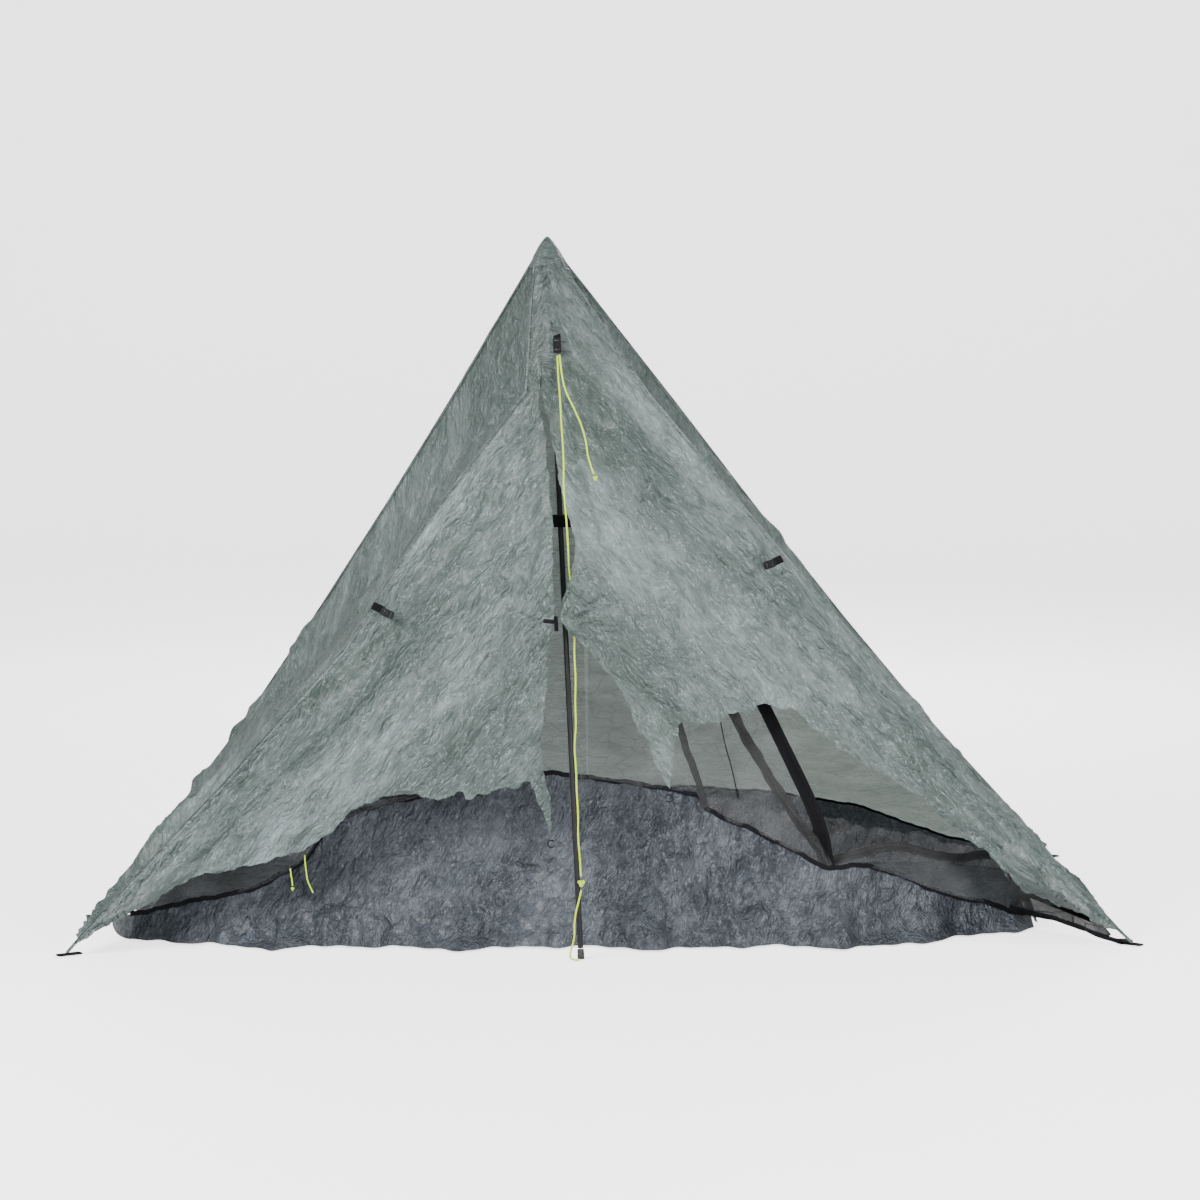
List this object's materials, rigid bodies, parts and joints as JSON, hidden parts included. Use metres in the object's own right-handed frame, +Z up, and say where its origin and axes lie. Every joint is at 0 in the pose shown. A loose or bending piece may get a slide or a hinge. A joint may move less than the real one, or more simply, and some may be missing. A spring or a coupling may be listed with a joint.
{
  "type": "teepee tent",
  "caption": "Single-pole pyramid shelter in crinkled translucent film with hanging storm doors, insect netting, a grey tub floor and a loose guyline.",
  "frame": {"origin": "on the underside of the tub floor, near the middle of the footprint", "axes": "+X to the right seen from the doorway, the doorway towards -Y, +Z up"},
  "size_m": [2.5602, 1.6492, 1.655],
  "materials": {
    "canopy_film": "crinkled translucent laminate",
    "tub_film": "crinkled grey laminate",
    "netting": "fine black mesh",
    "black_webbing": "woven",
    "black_binding": "grosgrain",
    "zip_nylon": "satin",
    "black_plastic": "satin",
    "dark_metal": "anodised",
    "pole_tube": "woven carbon laminate",
    "foot_rubber": "matt",
    "cord_yellow": "braided"
  },
  "bodies": {
    "canopy": {"corner_patches": "canopy_film", "front_peak_panel": "canopy_film", "front_ridge_tapes": "canopy_film", "guyline": "cord_yellow", "guyline_end": "cord_yellow", "guyline_knot": "cord_yellow", "guyline_tail": "cord_yellow", "hem_cord_long": "cord_yellow", "hem_cord_short": "cord_yellow", "hem_knot": "cord_yellow", "left_side_panel": "canopy_film", "left_tub_tie": "black_webbing", "mesh_front_wall": "netting", "peak_cap": "canopy_film", "peak_patch": "canopy_film", "peak_webbing": "black_webbing", "pole_cup": "black_plastic", "rear_panel": "canopy_film", "rear_ridge_tapes": "canopy_film", "right_side_panel": "canopy_film", "right_tub_tie": "black_webbing", "tub_floor": "tub_film", "tub_front_wall": "tub_film", "tub_left_wall": "tub_film", "tub_rear_wall": "tub_film", "tub_right_wall": "tub_film", "tub_rim_binding": "black_binding"},
    "left_storm_door": {"left_door_panel": "canopy_film"},
    "right_storm_door": {"right_door_panel": "canopy_film", "tail_knot": "cord_yellow"},
    "left_hook": {"left_door_hook": "dark_metal"},
    "right_hook": {"right_door_hook": "dark_metal"},
    "toggle": {"door_toggle": "black_plastic", "toggle_loop": "black_webbing"},
    "mesh_door": {"mesh_door_panel": "netting", "zip_tape": "zip_nylon", "zip_coil": "zip_nylon", "door_mesh_roll": "netting", "side_strip": "black_binding", "inner_cord": "black_binding"},
    "slider": {"zip_slider": "dark_metal"},
    "pull": {"zip_pull": "dark_metal"},
    "pole": {"pole_tip": "dark_metal", "pole_upper_tube": "pole_tube", "pole_ferrule": "dark_metal", "pole_strap": "black_webbing"},
    "pole_lower": {"pole_lower_tube": "pole_tube", "pole_foot": "foot_rubber"},
    "left_guy_tab": {"left_guy_webbing": "black_webbing", "left_guy_buckle": "black_plastic"},
    "right_guy_tab": {"right_guy_webbing": "black_webbing", "right_guy_buckle": "black_plastic"},
    "peak_tightener": {"peak_buckle": "black_plastic"},
    "front_left_loop": {"front_left_stake_loop": "black_webbing"},
    "front_right_loop": {"front_right_stake_loop": "black_webbing"},
    "rear_left_loop": {"rear_left_stake_loop": "black_webbing"},
    "rear_right_loop": {"rear_right_stake_loop": "black_webbing"},
    "front_right_tightener": {"front_right_buckle": "black_plastic"}
  },
  "joints": [
    {"name": "left_door_swing", "type": "hinge", "parent": "canopy", "child": "left_storm_door", "pos_m": [-0.168, -0.754, 1.3], "axis": [-0.6347, -0.0496, -0.7712], "range_deg": [0, 50], "deforming": ["hem_cord_long", "hem_cord_short"]},
    {"name": "right_door_swing", "type": "hinge", "parent": "canopy", "child": "right_storm_door", "pos_m": [0.11, -0.752, 1.3], "axis": [-0.6594, -0.0429, 0.7506], "range_deg": [0, 50], "deforming": ["guyline", "guyline_tail", "guyline_end"]},
    {"name": "left_hook_swing", "type": "hinge", "parent": "left_storm_door", "child": "left_hook", "pos_m": [-0.11, -0.866, 0.277], "axis": [0, 1, 0], "range_deg": [-60, 60]},
    {"name": "right_hook_swing", "type": "hinge", "parent": "right_storm_door", "child": "right_hook", "pos_m": [0.16, -0.879, 0.385], "axis": [0, 1, 0], "range_deg": [-60, 60]},
    {"name": "toggle_turn", "type": "hinge", "parent": "right_storm_door", "child": "toggle", "pos_m": [-0.104, -0.87, 0.771], "axis": [0, 1, 0], "range_deg": [-80, 80]},
    {"name": "mesh_door_swing", "type": "hinge", "parent": "canopy", "child": "mesh_door", "pos_m": [-0.03, -0.66, 0.4], "axis": [0, 0, 1], "range_deg": [0, 60]},
    {"name": "zip_travel", "type": "slide", "parent": "mesh_door", "child": "slider", "axis": [-0.4145, -0.0222, 0.9098], "range_m": [0, 0.9]},
    {"name": "pull_flip", "type": "hinge", "parent": "slider", "child": "pull", "pos_m": [0.50385, -0.65129, 0.285], "axis": [1, 0, 0], "range_deg": [-125, 0]},
    {"name": "pole_lean", "type": "hinge", "parent": "canopy", "child": "pole", "pos_m": [-0.122, -0.7, 1.637], "axis": [1, 0, 0], "range_deg": [0, 3]},
    {"name": "pole_pull_apart", "type": "slide", "parent": "pole", "child": "pole_lower", "axis": [0.0486, -0.1003, -0.9938], "range_m": [0, 0.06]},
    {"name": "left_tab_flap", "type": "hinge", "parent": "left_storm_door", "child": "left_guy_tab", "pos_m": [-0.524, -0.784, 0.812], "axis": [-1, 0, 0], "range_deg": [0, 50]},
    {"name": "right_tab_flap", "type": "hinge", "parent": "right_storm_door", "child": "right_guy_tab", "pos_m": [0.422, -0.738, 0.918], "axis": [-1, 0, 0], "range_deg": [0, 50]},
    {"name": "peak_tightener_flap", "type": "hinge", "parent": "canopy", "child": "peak_tightener", "pos_m": [-0.099, -0.762, 1.427], "axis": [-1, 0, 0], "range_deg": [0, 70]},
    {"name": "front_left_loop_lift", "type": "hinge", "parent": "canopy", "child": "front_left_loop", "pos_m": [-1.2048, -0.8136, 0.0025], "axis": [-0.6, 0.8, 0], "range_deg": [0, 45]},
    {"name": "front_right_loop_lift", "type": "hinge", "parent": "canopy", "child": "front_right_loop", "pos_m": [1.22395, -0.65477, 0.0025], "axis": [-0.5735, -0.8192, 0], "range_deg": [0, 45]},
    {"name": "rear_left_loop_lift", "type": "hinge", "parent": "canopy", "child": "rear_left_loop", "pos_m": [-1.2293, 0.69257, 0.0025], "axis": [0.669, 0.7433, 0], "range_deg": [0, 45]},
    {"name": "rear_right_loop_lift", "type": "hinge", "parent": "canopy", "child": "rear_right_loop", "pos_m": [1.18595, 0.63077, 0.0025], "axis": [0.5735, -0.8192, 0], "range_deg": [0, 45]},
    {"name": "front_right_tightener_lift", "type": "hinge", "parent": "front_right_loop", "child": "front_right_tightener", "pos_m": [1.224, -0.654, 0.007], "axis": [-0.5735, -0.8192, 0], "range_deg": [0, 60]}
  ]
}
